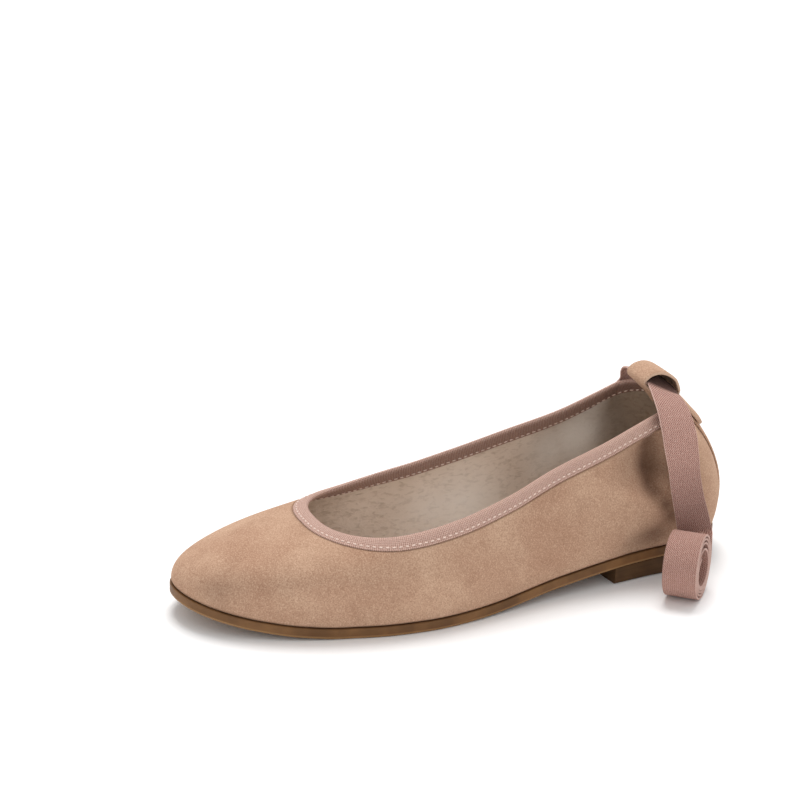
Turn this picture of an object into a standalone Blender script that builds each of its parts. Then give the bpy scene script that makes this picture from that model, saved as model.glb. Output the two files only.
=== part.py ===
"""A low suede ballet flat for the left foot, with an elastic ribbon through a loop at its heel.

The shoe stands empty on a floor at z = 0. The toe points along -Y, the heel along +Y and the outer side of
the foot is +X. The origin is on the floor, in the middle of the heel block. Everything is in metres.

The upper is worked out from two closed curves. One is the foot line, where the upper meets the sole, and the
other is the topline, which is the edge of the opening. A wall curve joins each point of the foot line to its
partner on the topline, so the toe box, the vamp and the quarters are one surface.
"""

import math

import bmesh
import bpy
import numpy as np

# Driving sizes
LENGTH = 0.2345
BALL_WIDTH = 0.078
BACK_HEIGHT = 0.0712
FOOT_RISE = 0.0130
HEEL_BACK = 0.0225
BREAST = 0.0353
BREAST_SKEW = 0.0050
TOE_SWING = 0.0098

SOLE = 0.0043
GAP = 0.0003
WALL = 0.0018
BAND_OUTSIDE = 0.0052
BAND_INSIDE = 0.0058
BAND_STEP = 0.0004
BINDING = 0.0007
SOCK = 0.0022
SOLE_LEDGE = 0.0006
STRIP_WIDTH = 0.0170
STRIP = 0.0008
TAB_WIDTH = 0.0170
TAB = 0.0013
TAB_LENGTH = 0.0208
TAB_LEAVES = 0.0036
RIBBON_WIDTH = 0.0142
RIBBON = 0.0011

STATIONS = 36

# Half width of the foot line before its ends are rounded, as shares of the ball width
FOOT_COLUMNS = ("along", "outer", "inner")
FOOT_TABLE = (
    (0.00, 0.347, 0.347),
    (0.13, 0.350, 0.350),
    (0.28, 0.388, 0.330),
    (0.36, 0.412, 0.300),
    (0.44, 0.448, 0.285),
    (0.54, 0.500, 0.330),
    (0.61, 0.517, 0.390),
    (0.68, 0.501, 0.438),
    (0.77, 0.452, 0.455),
    (0.84, 0.421, 0.445),
    (0.90, 0.410, 0.425),
    (1.00, 0.430, 0.400),
)

# Height of the foot line above the floor, as a share of its height at the heel
RISE_COLUMNS = ("along", "height")
RISE_TABLE = (
    (0.00, 0.87),
    (0.12, 0.97),
    (0.22, 0.925),
    (0.36, 0.70),
    (0.50, 0.405),
    (0.58, 0.354),
    (0.76, 0.354),
    (0.83, 0.43),
    (0.90, 0.61),
    (0.96, 0.84),
    (1.00, 1.02),
)

# The opening: middle and half width as shares of the ball width, height as a share of the back height
OPENING_COLUMNS = ("along", "middle", "half", "height")
OPENING_TABLE = (
    (0.100, -0.020, 0.248, 1.000),
    (0.13, -0.020, 0.250, 0.966),
    (0.19, -0.014, 0.258, 0.896),
    (0.26, -0.004, 0.273, 0.820),
    (0.36, 0.016, 0.306, 0.744),
    (0.46, 0.036, 0.360, 0.656),
    (0.56, 0.052, 0.394, 0.590),
    (0.66, 0.052, 0.419, 0.547),
    (0.72, 0.026, 0.436, 0.536),
    (0.765, 0.000, 0.448, 0.537),
)
OPENING_START = 0.100
OPENING_END = 0.765

# Which share of the way round the opening belongs to a share of the way round the foot
PARTNER_COLUMNS = ("foot", "opening")
PARTNER_TABLE = (
    (0.0, 0.0),
    (0.2345, 0.246),
    (0.369, 0.400),
    (0.50, 0.566),
    (0.59, 0.680),
    (0.6745, 0.775),
    (0.755, 0.850),
    (0.842, 0.915),
    (1.0, 1.0),
)

# Shape of the wall curve: lift and pull are shares, bulge is a share of the ball width, lean is in degrees
WALL_COLUMNS = ("around", "lift", "bulge", "pull", "lean")
WALL_TABLE = (
    (0.00, 0.40, 0.1090, 0.40, 42.0),
    (0.23, 0.38, 0.0769, 0.33, 66.0),
    (0.40, 0.38, 0.0513, 0.32, 70.0),
    (0.50, 0.42, 0.0449, 0.33, 68.0),
    (0.59, 0.50, 0.0385, 0.35, 58.0),
    (0.6745, 0.56, 0.0321, 0.42, 44.0),
    (0.755, 0.58, 0.0256, 0.50, 28.0),
    (0.842, 0.58, 0.0192, 0.54, 19.0),
    (1.00, 0.60, 0.0128, 0.56, 15.0),
)

# The loop over the ribbon, as shares of its reach and rise from the back of the opening
LOOP_REACH = 0.0135
LOOP_RISE = 0.0105
LOOP_COLUMNS = ("back", "up")
LOOP_TABLE = (
    (0.40, 0.10),
    (0.30, 0.34),
    (0.15, 0.60),
    (-0.05, 0.82),
    (-0.31, 0.97),
    (-0.55, 1.00),
    (-0.79, 0.92),
    (-0.97, 0.73),
    (-0.98, 0.50),
    (-0.81, 0.25),
    (-0.56, -0.02),
    (-0.32, -0.26),
    (-0.10, -0.50),
    (0.08, -0.74),
)

# The ribbon's runs from the loop to the rolls, then the direction across the ribbon. Aside is a share of the
# ball width and back a share of the loop's reach. Up is 1 at the collar, and a share of the loop's rise over it
RUN_COLUMNS = ("aside", "back", "up", "across x", "across y", "across z")
OUTER_RUN = (
    (0.0000, -0.3370, 1.4190, 0.0, 0.92, -0.39),
    (0.0577, -0.3370, 1.4190, 0.0, 0.92, -0.39),
    (0.1154, -0.3444, 1.3905, 0.0, 0.92, -0.39),
    (0.1692, -0.3667, 1.2857, 0.01, 0.93, -0.36),
    (0.2179, -0.3963, 1.0762, 0.02, 0.94, -0.3),
    (0.2641, -0.4185, 0.9677, 0.03, 0.95, -0.24),
    (0.3051, -0.4259, 0.9157, 0.03, 0.95, -0.18),
    (0.3410, -0.4333, 0.8497, 0.03, 0.95, -0.12),
    (0.3705, -0.4333, 0.7725, 0.03, 0.95, -0.08),
    (0.3949, -0.4259, 0.6882, 0.03, 0.95, -0.05),
    (0.4141, -0.4185, 0.5983, 0.03, 0.95, -0.02),
    (0.4372, -0.3704, 0.4986, 0.06, 0.95, 0.0),
    (0.4667, -0.2926, 0.4003, 0.20, 0.94, 0.0),
    (0.4962, -0.2259, 0.3020, 0.45, 0.88, 0.0),
)
INNER_RUN = (
    (0.0000, -0.3370, 1.4190, 0.0, 0.92, -0.39),
    (0.0577, -0.3370, 1.4190, 0.0, 0.92, -0.39),
    (0.1128, -0.3444, 1.3810, 0.0, 0.93, -0.37),
    (0.1538, -0.3296, 1.2667, 0.0, 0.98, -0.15),
    (0.1846, -0.2778, 1.1000, 0.0, 1.0, 0.05),
    (0.2115, -0.2481, 1.0143, 0.0, 1.0, 0.08),
    (0.2436, -0.2185, 0.9916, 0.0, 1.0, 0.07),
    (0.2731, -0.2111, 0.9747, 0.0, 1.0, 0.04),
    (0.3000, -0.2185, 0.9270, 0.02, 1.0, 0.0),
    (0.3295, -0.2407, 0.8596, 0.03, 1.0, 0.0),
    (0.3590, -0.2704, 0.7837, 0.03, 0.98, 0.0),
    (0.3872, -0.3148, 0.6910, 0.03, 0.98, 0.0),
    (0.4141, -0.3444, 0.5983, 0.03, 0.95, 0.0),
    (0.4372, -0.3296, 0.4986, 0.06, 0.95, 0.0),
    (0.4667, -0.2926, 0.4003, 0.2, 0.94, 0.0),
    (0.4962, -0.2259, 0.3020, 0.45, 0.88, 0.0),
)
ROLL_ASIDE = 0.6282
ROLL_FORWARD = 0.0126
ROLL_TURN = 46.0
ROLL_RADIUS = 0.0137
ROLL_PITCH = 0.00145
ROLL_TURNS = 4.6
ROLL_STEPS = 16


def read(table, column, at):
    """A smooth curve without overshoot through one column of a table."""
    table = np.array(table)
    x, y = table[:, 0], table[:, column]
    at = np.clip(np.asarray(at, float), x[0], x[-1])
    step, rise = np.diff(x), np.diff(y)
    slope = rise / step
    tangent = np.zeros_like(y)
    tangent[0], tangent[-1] = slope[0], slope[-1]
    for k in range(1, len(x) - 1):
        if slope[k - 1] * slope[k] > 0:
            a, b = 2 * step[k] + step[k - 1], step[k] + 2 * step[k - 1]
            tangent[k] = (a + b) / (a / slope[k - 1] + b / slope[k])
    k = np.clip(np.searchsorted(x, at, side="right") - 1, 0, len(x) - 2)
    u = (at - x[k]) / step[k]
    return (
        y[k] * (1 + 2 * u) * (1 - u) ** 2
        + tangent[k] * step[k] * u * (1 - u) ** 2
        + y[k + 1] * u * u * (3 - 2 * u)
        + tangent[k + 1] * step[k] * u * u * (u - 1)
    )


def rounding(t, start, heel, toe, end, heel_power, toe_power):
    """How far the half width is drawn in towards each end of a closed outline."""
    a = np.clip((t - toe) / (end - toe), 0, 1)
    b = np.clip((heel - t) / (heel - start), 0, 1)
    return (1 - a**toe_power) ** (1 / toe_power) * (1 - b**heel_power) ** (1 / heel_power)


def wrapped(p):
    """Stations run from 0 at the heel to 1 at the toe on the outer side, and to -1 on the inner side."""
    return (np.asarray(p, float) + 1) % 2 - 1


def foot_line(p):
    p = wrapped(p)
    q = np.abs(p)
    t = 0.5 - 0.5 * np.cos(math.pi * q)
    half = np.where(p >= 0, read(FOOT_TABLE, 1, t), read(FOOT_TABLE, 2, t)) * BALL_WIDTH
    half = half * rounding(t, 0, 0.15, 0.78, 1, 2.1, 2.1)
    middle = -TOE_SWING * np.clip((t - 0.66) / 0.34, 0, 1) ** 1.7
    x = middle + np.where(p >= 0, half, -half)
    return np.stack([x, HEEL_BACK - t * LENGTH, read(RISE_TABLE, 1, t) * FOOT_RISE], -1)


def topline(p):
    p = wrapped(p)
    share = read(PARTNER_TABLE, 1, np.abs(p))
    t = OPENING_START + (OPENING_END - OPENING_START) * (0.5 - 0.5 * np.cos(math.pi * share))
    half = read(OPENING_TABLE, 2, t) * BALL_WIDTH
    half = half * rounding(t, OPENING_START, 0.155, 0.52, OPENING_END, 2.2, 2.6)
    x = read(OPENING_TABLE, 1, t) * BALL_WIDTH + np.where(p >= 0, half, -half)
    return np.stack([x, HEEL_BACK - t * LENGTH, read(OPENING_TABLE, 3, t) * BACK_HEIGHT], -1)


def outward(line, p):
    """The level direction that points away from a closed line, at each station."""
    along = line(np.asarray(p) + 2e-3) - line(np.asarray(p) - 2e-3)
    out = np.stack([-along[..., 1], along[..., 0], 0 * along[..., 0]], -1)
    return out / np.linalg.norm(out, axis=-1, keepdims=True)


def unit(v):
    return v / np.maximum(np.linalg.norm(v, axis=-1, keepdims=True), 1e-12)


def wall_curves(p, count=97):
    """Each station's wall as a chain of points from the foot line to the topline, with the distance from the top."""
    p = np.asarray(p, float)
    q = np.abs(wrapped(p))
    foot, top = foot_line(p), topline(p)
    rise = top[:, 2] - foot[:, 2]
    reach = np.linalg.norm(top - foot, axis=-1)
    lift, bulge, pull, lean = (read(WALL_TABLE, k, q) for k in (1, 2, 3, 4))
    lean = np.radians(lean)[:, None]
    up = np.array([0, 0, 1.0])
    low = foot + up * (lift * rise)[:, None] + outward(foot_line, p) * (bulge * BALL_WIDTH)[:, None]
    high = top + (outward(topline, p) * np.cos(lean) - up * np.sin(lean)) * (pull * reach)[:, None]
    s = np.linspace(0, 1, count)[None, :, None]
    chain = (
        foot[:, None] * (1 - s) ** 3
        + 3 * low[:, None] * s * (1 - s) ** 2
        + 3 * high[:, None] * s * s * (1 - s)
        + top[:, None] * s**3
    )
    steps = np.linalg.norm(np.diff(chain, axis=1), axis=-1)
    down = np.concatenate([np.cumsum(steps[:, ::-1], axis=1)[:, ::-1], np.zeros((len(p), 1))], 1)
    return chain, down


def on_chain(chain, down, depth):
    """Points at given depths below the topline. A depth under zero carries on past the edge."""
    found = np.empty(depth.shape + (3,))
    for i in range(len(chain)):
        for k in range(3):
            found[i, :, k] = np.interp(depth[i], down[i, ::-1], chain[i, ::-1, k])
        way = unit(chain[i, -1] - chain[i, -5])
        found[i] += way * np.maximum(-depth[i], 0)[:, None]
        way = unit(chain[i, 0] - chain[i, 4])
        found[i] += way * np.maximum(depth[i] - down[i, 0], 0)[:, None]
    return found


def wall_depth(p):
    return wall_curves(np.atleast_1d(p))[1][:, 0]


def surface(p, depth, out=0.0):
    """Points on the upper's outer surface at depths below the topline, moved out along the surface's normal."""
    p, depth = np.atleast_1d(p), np.atleast_2d(depth)
    depth = np.broadcast_to(depth, (len(p), depth.shape[1]))
    here = wall_curves(p)
    full = here[1][:, :1]
    point = on_chain(*here, depth)
    share = np.clip(depth / full, 0.01, 1)
    before, after = wall_curves(p - 4e-3), wall_curves(p + 4e-3)
    around = on_chain(*after, share * after[1][:, :1]) - on_chain(*before, share * before[1][:, :1])
    edge = np.clip(depth, 0.0006, full - 0.0006)
    rise = on_chain(*here, edge - 0.0005) - on_chain(*here, edge + 0.0005)
    normal = unit(np.cross(rise, around))
    return point + normal * np.broadcast_to(out, depth.shape)[..., None]


def material(name, colour, roughness):
    made = bpy.data.materials.new(name)
    made.use_nodes = True
    made.diffuse_color = (*colour, 1)
    shader = made.node_tree.nodes["Principled BSDF"]
    shader.inputs["Base Color"].default_value = (*colour, 1)
    shader.inputs["Roughness"].default_value = roughness
    return made


def add(name, points, faces, finish):
    """One closed object, with its doubled points joined and its faces turned outwards."""
    mesh = bpy.data.meshes.new(name)
    mesh.from_pydata([tuple(point) for point in points], [], faces)
    shape = bmesh.new()
    shape.from_mesh(mesh)
    bmesh.ops.remove_doubles(shape, verts=shape.verts, dist=1e-6)
    bmesh.ops.dissolve_degenerate(shape, dist=1e-7, edges=shape.edges)
    bmesh.ops.recalc_face_normals(shape, faces=shape.faces)
    if shape.calc_volume(signed=True) < 0:
        bmesh.ops.reverse_faces(shape, faces=shape.faces)
    shape.to_mesh(mesh)
    shape.free()
    mesh.materials.append(finish)
    made = bpy.data.objects.new(name, mesh)
    bpy.context.scene.collection.objects.link(made)
    return made


def sweep(name, sections, finish, closed):
    """A solid through closed sections of equal count. An open one gets a cap at each end."""
    sections = np.asarray(sections)
    n, k = sections.shape[:2]
    faces = []
    for i in range(n if closed else n - 1):
        a, b = i * k, (i + 1) % n * k
        faces += [(a + j, a + (j + 1) % k, b + (j + 1) % k, b + j) for j in range(k)]
    if not closed:
        faces += [tuple(range(k)), tuple(range((n - 1) * k, n * k))]
    return add(name, sections.reshape(-1, 3), faces, finish)


def slab(name, levels, finish, columns=4):
    """A solid through level outlines, each given as rows of points across it. The first and last are filled."""
    levels = [np.asarray(level) for level in levels]
    points, faces = [], []
    rows = levels[0].shape[0]
    for level in levels:
        points.append(level.reshape(-1, 3))
    width = columns + 1

    def index(level, row, column):
        return level * rows * width + row * width + column

    for level in (0, len(levels) - 1):
        for r in range(rows - 1):
            for c in range(columns):
                faces.append(tuple(index(level, *at) for at in ((r, c), (r, c + 1), (r + 1, c + 1), (r + 1, c))))
    rim = [(r, 0) for r in range(rows)]
    rim += [(rows - 1, c) for c in range(1, width)]
    rim += [(r, columns) for r in range(rows - 2, -1, -1)]
    rim += [(0, c) for c in range(columns - 1, 0, -1)]
    for level in range(len(levels) - 1):
        for k in range(len(rim)):
            a, b = rim[k], rim[(k + 1) % len(rim)]
            faces.append((index(level, *a), index(level, *b), index(level + 1, *b), index(level + 1, *a)))
    return add(name, np.concatenate(points), faces, finish)


def across(outer, inner, columns=4):
    """Rows of points from an outer edge to an inner edge."""
    share = np.linspace(0, 1, columns + 1)[None, :, None]
    return outer[:, None] * (1 - share) + inner[:, None] * share


def sheet(name, front, back, finish):
    """A solid between two grids of the same size."""
    return slab(name, [front, back], finish, columns=front.shape[1] - 1)


def clear():
    for made in list(bpy.data.objects):
        bpy.data.objects.remove(made, do_unlink=True)


def station_loop():
    outer = np.arange(0, STATIONS + 1) / STATIONS
    inner = -np.arange(STATIONS - 1, 0, -1) / STATIONS
    return np.concatenate([outer, inner])


def build_upper(finish):
    p = station_loop()
    full = wall_depth(p)[:, None]
    shares = np.array([0, 0.05, 0.12, 0.21, 0.32, 0.44, 0.57, 0.70, 0.84])

    def depths(band):
        low = band + (full - band) * (1 - shares)
        return np.concatenate([low, np.broadcast_to([band, band, 0.4 * band, 0.0], (len(p), 4))], 1)

    step = BAND_STEP
    outer = surface(p, depths(BAND_OUTSIDE + GAP), [0] * len(shares) + [0, -step, -step, -step])
    inside = depths(BAND_INSIDE + GAP)[:, ::-1]
    inner = surface(p, inside, [step - WALL] * 3 + [-WALL] * (len(shares) + 1))
    inner[:, -1, 2] = outer[:, 0, 2]
    return sweep("upper", np.concatenate([outer, inner], 1), finish, closed=True)


def build_binding(finish):
    p = station_loop()
    near, far = GAP - BAND_STEP, BAND_STEP - WALL - GAP
    profile = np.array(
        [
            (BAND_OUTSIDE, near),
            (BAND_OUTSIDE, near + 0.9 * BINDING),
            (1.7 * BINDING, near + BINDING),
            (-0.85 * BINDING, near + 0.2 * BINDING),
            (-GAP - BINDING, -WALL / 2),
            (-0.85 * BINDING, far - 0.2 * BINDING),
            (1.7 * BINDING, far - BINDING),
            (BAND_INSIDE, far - 0.9 * BINDING),
            (BAND_INSIDE, far),
            (0.0, far),
            (-GAP, -WALL / 2),
            (0.0, near),
        ]
    )
    return sweep("topline_binding", surface(p, profile[:, 0], profile[:, 1]), finish, closed=True)


def sole_rows(q, out, height):
    """Rows across the foot line, moved out level by a distance, at a given height for each row."""
    outer, inner = foot_line(q), foot_line(-q)
    outer = outer + outward(foot_line, q) * out
    inner = inner + outward(foot_line, -q) * out
    outer[:, 2] = inner[:, 2] = height
    ends = (q < 1e-6) | (q > 1 - 1e-6)
    middle = (outer + inner) / 2
    outer[ends], inner[ends] = middle[ends], middle[ends]
    return across(outer, inner)


def build_outsole(finish):
    q = np.arange(0, STATIONS + 1) / STATIONS
    top = foot_line(q)[:, 2] - GAP
    levels = [
        sole_rows(q, 0.0, top),
        sole_rows(q, SOLE_LEDGE, top - 0.14 * SOLE),
        sole_rows(q, SOLE_LEDGE, top - 0.77 * SOLE),
        sole_rows(q, -SOLE_LEDGE / 2, top - SOLE),
    ]
    return slab("outsole", levels, finish)


def build_heel(finish):
    share = (HEEL_BACK + BREAST) / LENGTH
    last = math.acos(1 - 2 * share) / math.pi
    q = last * np.linspace(0, 1, 13)

    def rows(out, share):
        grid = sole_rows(q, out, 0 * q)
        grid[-1, :, 1] -= BREAST_SKEW * np.linspace(0, 1, grid.shape[1])
        rise = read(RISE_TABLE, 1, (HEEL_BACK - grid[..., 1]) / LENGTH) * FOOT_RISE
        grid[..., 2] = (rise - GAP - SOLE - GAP) * share
        return grid

    return slab("heel", [rows(-SOLE_LEDGE / 2, 1.0), rows(-SOLE_LEDGE / 3, 0.12), rows(-2 * SOLE_LEDGE, 0.0)], finish)


def build_insole(finish):
    q = np.arange(0, STATIONS + 1) / STATIONS
    floor = foot_line(q)[:, 2]
    inset = -WALL - 2 * GAP
    levels = [
        sole_rows(q, inset, floor),
        sole_rows(q, inset, floor + 0.7 * SOCK),
        sole_rows(q, inset - SOCK / 3, floor + SOCK),
    ]
    return slab("insole", levels, finish)


def at_side(x, depth):
    """The station near the heel whose wall is at a sideways position, for each depth."""
    low, high = np.full(len(depth), -0.3), np.full(len(depth), 0.3)
    for _ in range(22):
        middle = (low + high) / 2
        found = surface(middle, depth[:, None])[:, 0, 0]
        low, high = np.where(found < x, middle, low), np.where(found < x, high, middle)
    return middle


def back_grid(width, depth, columns):
    """Stations across a strip that stands up the middle of the heel."""
    sides = np.linspace(-width / 2, width / 2, columns + 1)
    return np.stack([at_side(x, depth) for x in sides], 1)


def back_points(stations, depth, out):
    """Points on the heel's back for a grid of stations, one depth a row."""
    depth = np.broadcast_to(depth[:, None], stations.shape).reshape(-1, 1)
    out = np.broadcast_to(out, stations.shape).reshape(-1, 1)
    return surface(stations.reshape(-1), depth, out)[:, 0].reshape(stations.shape + (3,))


def build_backstay(finish):
    full = float(wall_depth(0.0)[0])
    depth = np.linspace(full - 5 * GAP, BAND_OUTSIDE + 3 * GAP, 10)
    stations = back_grid(STRIP_WIDTH, depth, 6)
    edge = np.array([0.45, 1, 1, 1, 1, 1, 0.45])
    front = back_points(stations, depth, GAP + STRIP * edge)
    return sheet("backstay", front, back_points(stations, depth, GAP), finish)


def smooth(points, count):
    """A soft curve through points, by way of equal steps along it."""
    points = np.asarray(points, float)
    ends = np.concatenate([[2 * points[0] - points[1]], points, [2 * points[-1] - points[-2]]])
    dense = []
    for k in range(1, len(ends) - 2):
        a, b, c, d = ends[k - 1 : k + 3]
        for u in np.linspace(0, 1, 12, endpoint=False):
            dense.append(
                0.5
                * (2 * b + (c - a) * u + (2 * a - 5 * b + 4 * c - d) * u * u + (3 * b - a - 3 * c + d) * u**3)
            )
    dense = np.array(dense + [ends[-2]])
    steps = np.linalg.norm(np.diff(dense[:, :3], axis=0), axis=1)
    run = np.concatenate([[0], np.cumsum(steps)])
    at = np.linspace(0, run[-1], count)
    return np.stack([np.interp(at, run, dense[:, k]) for k in range(dense.shape[1])], -1)


def build_heel_loop(finish):
    """The tab lies on the outside of the heel, arches over the ribbon and comes down inside the collar."""
    columns = 4
    low = GAP + STRIP + GAP
    depth = np.linspace(TAB_LENGTH, TAB_LEAVES, 6)
    stations = back_grid(TAB_WIDTH, depth, columns)
    front = [back_points(stations, depth, low + TAB)]
    back = [back_points(stations, depth, low)]
    start = topline(np.array([0.0]))[0]
    path = np.array(LOOP_TABLE) * (LOOP_REACH, LOOP_RISE) + start[1:]
    path = smooth(path, 17)
    along = unit(np.gradient(path, axis=0))
    inwards = np.stack([along[:, 1], -along[:, 0]], -1)
    side = np.linspace(-1, 1, columns + 1)
    for name, out in (("front", 0.0), ("back", TAB)):
        line = path - inwards * out
        sag = np.interp(np.arange(len(line)), [0, 2, len(line) - 7, len(line) - 1], [1.1 * TAB, 0, 0, 2.2 * TAB])
        grid = np.empty((len(line), columns + 1, 3))
        grid[..., 0] = side * TAB_WIDTH / 2
        grid[..., 1] = line[:, None, 0] - sag[:, None] * side**2
        grid[..., 2] = line[:, None, 1]
        (front if name == "front" else back).append(grid)
    return sheet("heel_loop", np.concatenate(front), np.concatenate(back), finish)


def ribbon_side(side):
    """Sections of the ribbon from the loop to the end of one roll. Side is 1 for the outer and -1 for the inner."""
    table = np.array(OUTER_RUN if side > 0 else INNER_RUN)
    back = topline(0.0)[1]
    table[:, 0] *= BALL_WIDTH
    table[:, 1] = back + table[:, 1] * LOOP_REACH
    table[:, 2] = np.minimum(table[:, 2], 1) * BACK_HEIGHT + np.maximum(table[:, 2] - 1, 0) * LOOP_RISE
    run = smooth(table, 20)
    middle, wide = run[:, :3], run[:, 3:]
    turn = math.radians(ROLL_TURN)
    axis = np.array([math.cos(turn), math.sin(turn), 0])
    out = np.array([math.sin(turn), -math.cos(turn), 0])
    up = np.array([0, 0, 1.0])
    height = ROLL_RADIUS - ROLL_PITCH / 4 + RIBBON / 2
    angle = np.arange(0, int(ROLL_TURNS * ROLL_STEPS) + 1) * 2 * math.pi / ROLL_STEPS
    radius = ROLL_RADIUS - ROLL_PITCH * angle / (2 * math.pi)
    centre = np.array([ROLL_ASIDE * BALL_WIDTH, back - ROLL_FORWARD, height])
    spoke = -out * np.cos(angle)[:, None] - up * np.sin(angle)[:, None]
    middle = np.concatenate([middle, centre + spoke * radius[:, None]])
    wide = np.concatenate([wide, np.broadcast_to(axis, spoke.shape)])
    along = unit(np.gradient(middle, axis=0))
    wide = unit(wide - along * np.sum(wide * along, axis=1, keepdims=True))
    face = np.cross(wide, along)
    half, thick = RIBBON_WIDTH / 2, RIBBON / 2
    corners = ((-half, -thick), (half, -thick), (half, thick), (-half, thick))
    return np.stack([middle + wide * a + face * b for a, b in corners], 1) * (side, 1, 1)


def build_ankle_elastic(finish):
    outer, inner = ribbon_side(1), ribbon_side(-1)
    return sweep("ankle_elastic", np.concatenate([inner[:0:-1], outer]), finish, closed=False)


def clean_scene_and_build():
    clear()
    suede = material("suede", (0.51, 0.33, 0.23), 0.95)
    grosgrain = material("grosgrain", (0.55, 0.35, 0.30), 0.75)
    elastic = material("elastic_ribbon", (0.45, 0.26, 0.22), 0.8)
    nappa = material("pearl_leather", (0.60, 0.54, 0.47), 0.4)
    sole = material("sole_leather", (0.22, 0.11, 0.05), 0.5)
    stack = material("heel_stack", (0.12, 0.06, 0.03), 0.5)
    build_upper(suede)
    build_binding(grosgrain)
    build_outsole(sole)
    build_heel(stack)
    build_insole(nappa)
    build_backstay(suede)
    build_heel_loop(suede)
    build_ankle_elastic(elastic)


clean_scene_and_build()
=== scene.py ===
# %% [markdown]
# # A suede ballet flat with an elastic ankle ribbon
# This lesson dresses a packed shoe model. The model gives plain solids at their real size. Here each one gets
# the piece a shoemaker would know: suede, lining, ribbon binding, stitches, a leather sole and a rolled elastic.
# Everything is in metres. The toe points along -Y, +X is the outer side of the left foot and the floor is z = 0.

# %% Load the model
import math

import bmesh
import bpy
import numpy as np
from mathutils import Matrix


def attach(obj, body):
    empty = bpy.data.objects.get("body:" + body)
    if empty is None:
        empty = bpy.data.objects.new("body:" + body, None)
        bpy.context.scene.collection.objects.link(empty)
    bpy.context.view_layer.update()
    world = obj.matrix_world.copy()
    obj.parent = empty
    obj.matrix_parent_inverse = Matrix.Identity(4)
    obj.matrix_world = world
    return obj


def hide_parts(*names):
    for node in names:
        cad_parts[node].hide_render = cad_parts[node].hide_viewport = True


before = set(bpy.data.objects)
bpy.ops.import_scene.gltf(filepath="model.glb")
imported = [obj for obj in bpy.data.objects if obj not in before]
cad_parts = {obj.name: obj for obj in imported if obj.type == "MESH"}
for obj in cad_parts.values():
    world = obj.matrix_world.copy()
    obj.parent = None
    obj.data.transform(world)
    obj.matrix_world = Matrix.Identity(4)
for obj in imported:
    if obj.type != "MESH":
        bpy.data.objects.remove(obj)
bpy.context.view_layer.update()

MM = 0.001

# %% [markdown]
# ## Camera
# The picture was taken with a long lens from the outer side, a little ahead of the heel's middle and above the
# shoe. A long lens keeps the toe and the heel at nearly one scale. The camera's place and its three directions
# were worked out from the sole's outline, so they are written down as they are.

# %% Place the camera
CAMERA_PLACE = (0.87222, -0.50392, 0.44832)
CAMERA_RIGHT = (0.39908, 0.91685, 0.01148)
CAMERA_UP = (-0.33285, 0.13319, 0.93352)
CAMERA_BACK = (0.85437, -0.37637, 0.35833)


def facing(place, right, up, back):
    """The matrix of a camera or a lamp, from its place and its three directions."""
    return Matrix.Translation(place) @ Matrix((right, up, back)).transposed().to_4x4()


camera_data = bpy.data.cameras.new("studio_camera")
camera_data.lens, camera_data.sensor_width = 116.03, 36.0
camera_data.clip_start, camera_data.clip_end = 0.05, 50
camera = bpy.data.objects.new("studio_camera", camera_data)
bpy.context.scene.collection.objects.link(camera)
camera.matrix_world = facing(CAMERA_PLACE, CAMERA_RIGHT, CAMERA_UP, CAMERA_BACK)
bpy.context.scene.camera = camera
print("camera at", CAMERA_PLACE)

# %% [markdown]
# ## The last
# A shoe is built over a last, a solid form of the foot. Two closed lines hold its shape here: the foot line,
# where the upper meets the sole, and the topline, the edge of the opening. Short tables give their widths and
# heights as shares of a few real sizes. A wall curve joins each point of one line to its partner on the other.

# %% Sizes and tables
LENGTH, BALL_WIDTH, BACK_HEIGHT, FOOT_RISE = 0.2345, 0.078, 0.0712, 0.0130
HEEL_BACK, BREAST, BREAST_SKEW, TOE_SWING = 0.0225, 0.0353, 0.0050, 0.0098
SOLE, GAP, WALL = 0.0043, 0.0003, 0.0018

# share of the length from the heel, half width on the outer side, half width on the inner side
FOOT_TABLE = (
    (0.00, 0.347, 0.347),
    (0.13, 0.350, 0.350),
    (0.28, 0.388, 0.330),
    (0.36, 0.412, 0.300),
    (0.44, 0.448, 0.285),
    (0.54, 0.500, 0.330),
    (0.61, 0.517, 0.390),
    (0.68, 0.501, 0.438),
    (0.77, 0.452, 0.455),
    (0.84, 0.421, 0.445),
    (0.90, 0.410, 0.425),
    (1.00, 0.430, 0.400),
)
# share of the length, height of the foot line
RISE_TABLE = (
    (0.00, 0.87),
    (0.12, 0.97),
    (0.22, 0.925),
    (0.36, 0.70),
    (0.50, 0.405),
    (0.58, 0.354),
    (0.76, 0.354),
    (0.83, 0.43),
    (0.90, 0.61),
    (0.96, 0.84),
    (1.00, 1.02),
)
# share of the length, middle of the opening, its half width, its height
OPENING_TABLE = (
    (0.100, -0.020, 0.248, 1.000),
    (0.13, -0.020, 0.250, 0.966),
    (0.19, -0.014, 0.258, 0.896),
    (0.26, -0.004, 0.273, 0.820),
    (0.36, 0.016, 0.306, 0.744),
    (0.46, 0.036, 0.360, 0.656),
    (0.56, 0.052, 0.394, 0.590),
    (0.66, 0.052, 0.419, 0.547),
    (0.72, 0.026, 0.436, 0.536),
    (0.765, 0.000, 0.448, 0.537),
)
# for each outline: its heel end, where the rounding at the heel ends, where that at the toe starts, its toe end,
# and the powers of the two roundings
FOOT_ENDS = (0.0, 0.15, 0.78, 1.0, 2.1, 2.1)
OPENING_ENDS = (0.100, 0.155, 0.52, 0.765, 2.2, 2.6)
# share of the way round the foot, share of the way round the opening
PARTNER_TABLE = (
    (0.0, 0.0),
    (0.2345, 0.246),
    (0.369, 0.400),
    (0.50, 0.566),
    (0.59, 0.680),
    (0.6745, 0.775),
    (0.755, 0.850),
    (0.842, 0.915),
    (1.0, 1.0),
)
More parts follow.
